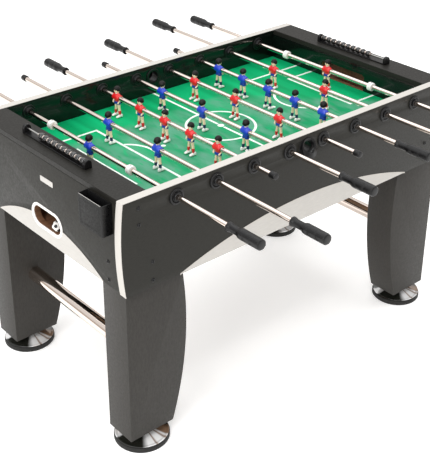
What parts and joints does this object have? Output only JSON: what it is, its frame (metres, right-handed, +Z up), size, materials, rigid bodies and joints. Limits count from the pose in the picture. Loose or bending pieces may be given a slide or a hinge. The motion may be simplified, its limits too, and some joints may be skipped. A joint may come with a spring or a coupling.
{
  "type": "foosball table",
  "caption": "Foosball table with sliding, turning rods of hanging men, bead score counters, ball returns, and curved legs on wide levelling feet.",
  "frame": {"origin": "on the floor, below the middle of the playing field", "axes": "+Z up; +X along the table, from the left end to the right end; +Y along the rods, from the front to the back"},
  "size_m": [1.466, 1.676, 0.908],
  "materials": {
    "panel": "charcoal laminate on board, satin, with pale metallic edge banding and a silver arc",
    "rail": "grey laminate on board, satin",
    "field": "printed board, grass pattern and white lines under gloss film",
    "chrome": "polished chrome plate on steel",
    "black_plastic": "moulded black plastic, fine grain",
    "blue_man": "painted moulded plastic, blue shirt and dark shorts",
    "red_man": "painted moulded plastic, red shirt and blue shorts",
    "beads": "glossy black moulded beads",
    "ball": "white ball with dark printed patches"
  },
  "bodies": {
    "cabinet": {"front_panel": "panel", "back_panel": "panel", "playfield": "field", "left_end_panel": "panel", "left_end_rail": "rail", "left_score_counter": "black_plastic", "left_cross_tube": "chrome", "left_front_leg": "panel", "left_back_leg": "panel", "right_end_panel": "panel", "right_end_rail": "rail", "right_score_counter": "black_plastic", "right_cross_tube": "chrome", "right_front_leg": "panel", "right_back_leg": "panel"},
    "left_beads": {"left_score_beads": "beads"},
    "left_front_foot": {"left_front_levelling_foot": "chrome"},
    "left_back_foot": {"left_back_levelling_foot": "chrome"},
    "right_beads": {"right_score_beads": "beads"},
    "right_front_foot": {"right_front_levelling_foot": "chrome"},
    "right_back_foot": {"right_back_levelling_foot": "chrome"},
    "ball": {"ball": "ball"},
    "bearing_1": {"sleeve_1": "black_plastic"},
    "rod_1_set": {"rod_1": "chrome", "blue_man_1_1": "blue_man"},
    "bearing_2": {"sleeve_2": "black_plastic"},
    "rod_2_set": {"rod_2": "chrome", "blue_man_2_1": "blue_man", "blue_man_2_2": "blue_man"},
    "bearing_3": {"sleeve_3": "black_plastic"},
    "rod_3_set": {"rod_3": "chrome", "red_man_3_1": "red_man", "red_man_3_2": "red_man", "red_man_3_3": "red_man", "red_man_3_4": "red_man", "red_man_3_5": "red_man"},
    "bearing_4": {"sleeve_4": "black_plastic"},
    "rod_4_set": {"rod_4": "chrome", "blue_man_4_1": "blue_man", "blue_man_4_2": "blue_man", "blue_man_4_3": "blue_man"},
    "bearing_5": {"sleeve_5": "black_plastic"},
    "rod_5_set": {"rod_5": "chrome", "red_man_5_1": "red_man", "red_man_5_2": "red_man", "red_man_5_3": "red_man"},
    "bearing_6": {"sleeve_6": "black_plastic"},
    "rod_6_set": {"rod_6": "chrome", "blue_man_6_1": "blue_man", "blue_man_6_2": "blue_man", "blue_man_6_3": "blue_man", "blue_man_6_4": "blue_man", "blue_man_6_5": "blue_man"},
    "bearing_7": {"sleeve_7": "black_plastic"},
    "rod_7_set": {"rod_7": "chrome", "red_man_7_1": "red_man", "red_man_7_2": "red_man"},
    "bearing_8": {"sleeve_8": "black_plastic"},
    "rod_8_set": {"rod_8": "chrome", "red_man_8_1": "red_man"}
  },
  "joints": [
    {"name": "left_beads_slide", "type": "slide", "parent": "cabinet", "child": "left_beads", "axis": [0, 1, 0], "range_m": [0, 0.066]},
    {"name": "left_front_foot_turn", "type": "hinge", "parent": "cabinet", "child": "left_front_foot", "pos_m": [-0.611, -0.332, 0.02], "axis": [0, 0, 1], "continuous": true},
    {"name": "left_back_foot_turn", "type": "hinge", "parent": "cabinet", "child": "left_back_foot", "pos_m": [-0.611, 0.332, 0.02], "axis": [0, 0, 1], "continuous": true},
    {"name": "right_beads_slide", "type": "slide", "parent": "cabinet", "child": "right_beads", "axis": [0, -1, 0], "range_m": [0, 0.066]},
    {"name": "right_front_foot_turn", "type": "hinge", "parent": "cabinet", "child": "right_front_foot", "pos_m": [0.611, -0.332, 0.02], "axis": [0, 0, 1], "continuous": true},
    {"name": "right_back_foot_turn", "type": "hinge", "parent": "cabinet", "child": "right_back_foot", "pos_m": [0.611, 0.332, 0.02], "axis": [0, 0, 1], "continuous": true},
    {"name": "ball_roll", "type": "slide", "parent": "cabinet", "child": "ball", "axis": [0, 1, 0], "range_m": [-0.014, 0.074]},
    {"name": "rod_1_turn", "type": "hinge", "parent": "cabinet", "child": "bearing_1", "pos_m": [-0.51625, 0, 0.842], "axis": [0, 1, 0], "continuous": true},
    {"name": "rod_1_slide", "type": "slide", "parent": "bearing_1", "child": "rod_1_set", "axis": [0, 1, 0], "range_m": [-0.162, 0.118]},
    {"name": "rod_2_turn", "type": "hinge", "parent": "cabinet", "child": "bearing_2", "pos_m": [-0.36875, 0, 0.842], "axis": [0, 1, 0], "continuous": true},
    {"name": "rod_2_slide", "type": "slide", "parent": "bearing_2", "child": "rod_2_set", "axis": [0, 1, 0], "range_m": [-0.208, 0.208]},
    {"name": "rod_3_turn", "type": "hinge", "parent": "cabinet", "child": "bearing_3", "pos_m": [-0.22125, 0, 0.842], "axis": [0, 1, 0], "continuous": true},
    {"name": "rod_3_slide", "type": "slide", "parent": "bearing_3", "child": "rod_3_set", "axis": [0, 1, 0], "range_m": [-0.098, 0.052]},
    {"name": "rod_4_turn", "type": "hinge", "parent": "cabinet", "child": "bearing_4", "pos_m": [-0.07375, 0, 0.842], "axis": [0, 1, 0], "continuous": true},
    {"name": "rod_4_slide", "type": "slide", "parent": "bearing_4", "child": "rod_4_set", "axis": [0, 1, 0], "range_m": [-0.132, 0.112]},
    {"name": "rod_5_turn", "type": "hinge", "parent": "cabinet", "child": "bearing_5", "pos_m": [0.07375, 0, 0.842], "axis": [0, 1, 0], "continuous": true},
    {"name": "rod_5_slide", "type": "slide", "parent": "bearing_5", "child": "rod_5_set", "axis": [0, 1, 0], "range_m": [-0.132, 0.112]},
    {"name": "rod_6_turn", "type": "hinge", "parent": "cabinet", "child": "bearing_6", "pos_m": [0.22125, 0, 0.842], "axis": [0, 1, 0], "continuous": true},
    {"name": "rod_6_slide", "type": "slide", "parent": "bearing_6", "child": "rod_6_set", "axis": [0, 1, 0], "range_m": [-0.077, 0.073]},
    {"name": "rod_7_turn", "type": "hinge", "parent": "cabinet", "child": "bearing_7", "pos_m": [0.36875, 0, 0.842], "axis": [0, 1, 0], "continuous": true},
    {"name": "rod_7_slide", "type": "slide", "parent": "bearing_7", "child": "rod_7_set", "axis": [0, 1, 0], "range_m": [-0.208, 0.208]},
    {"name": "rod_8_turn", "type": "hinge", "parent": "cabinet", "child": "bearing_8", "pos_m": [0.51625, 0, 0.842], "axis": [0, 1, 0], "continuous": true},
    {"name": "rod_8_slide", "type": "slide", "parent": "bearing_8", "child": "rod_8_set", "axis": [0, 1, 0], "range_m": [-0.14, 0.14]}
  ]
}
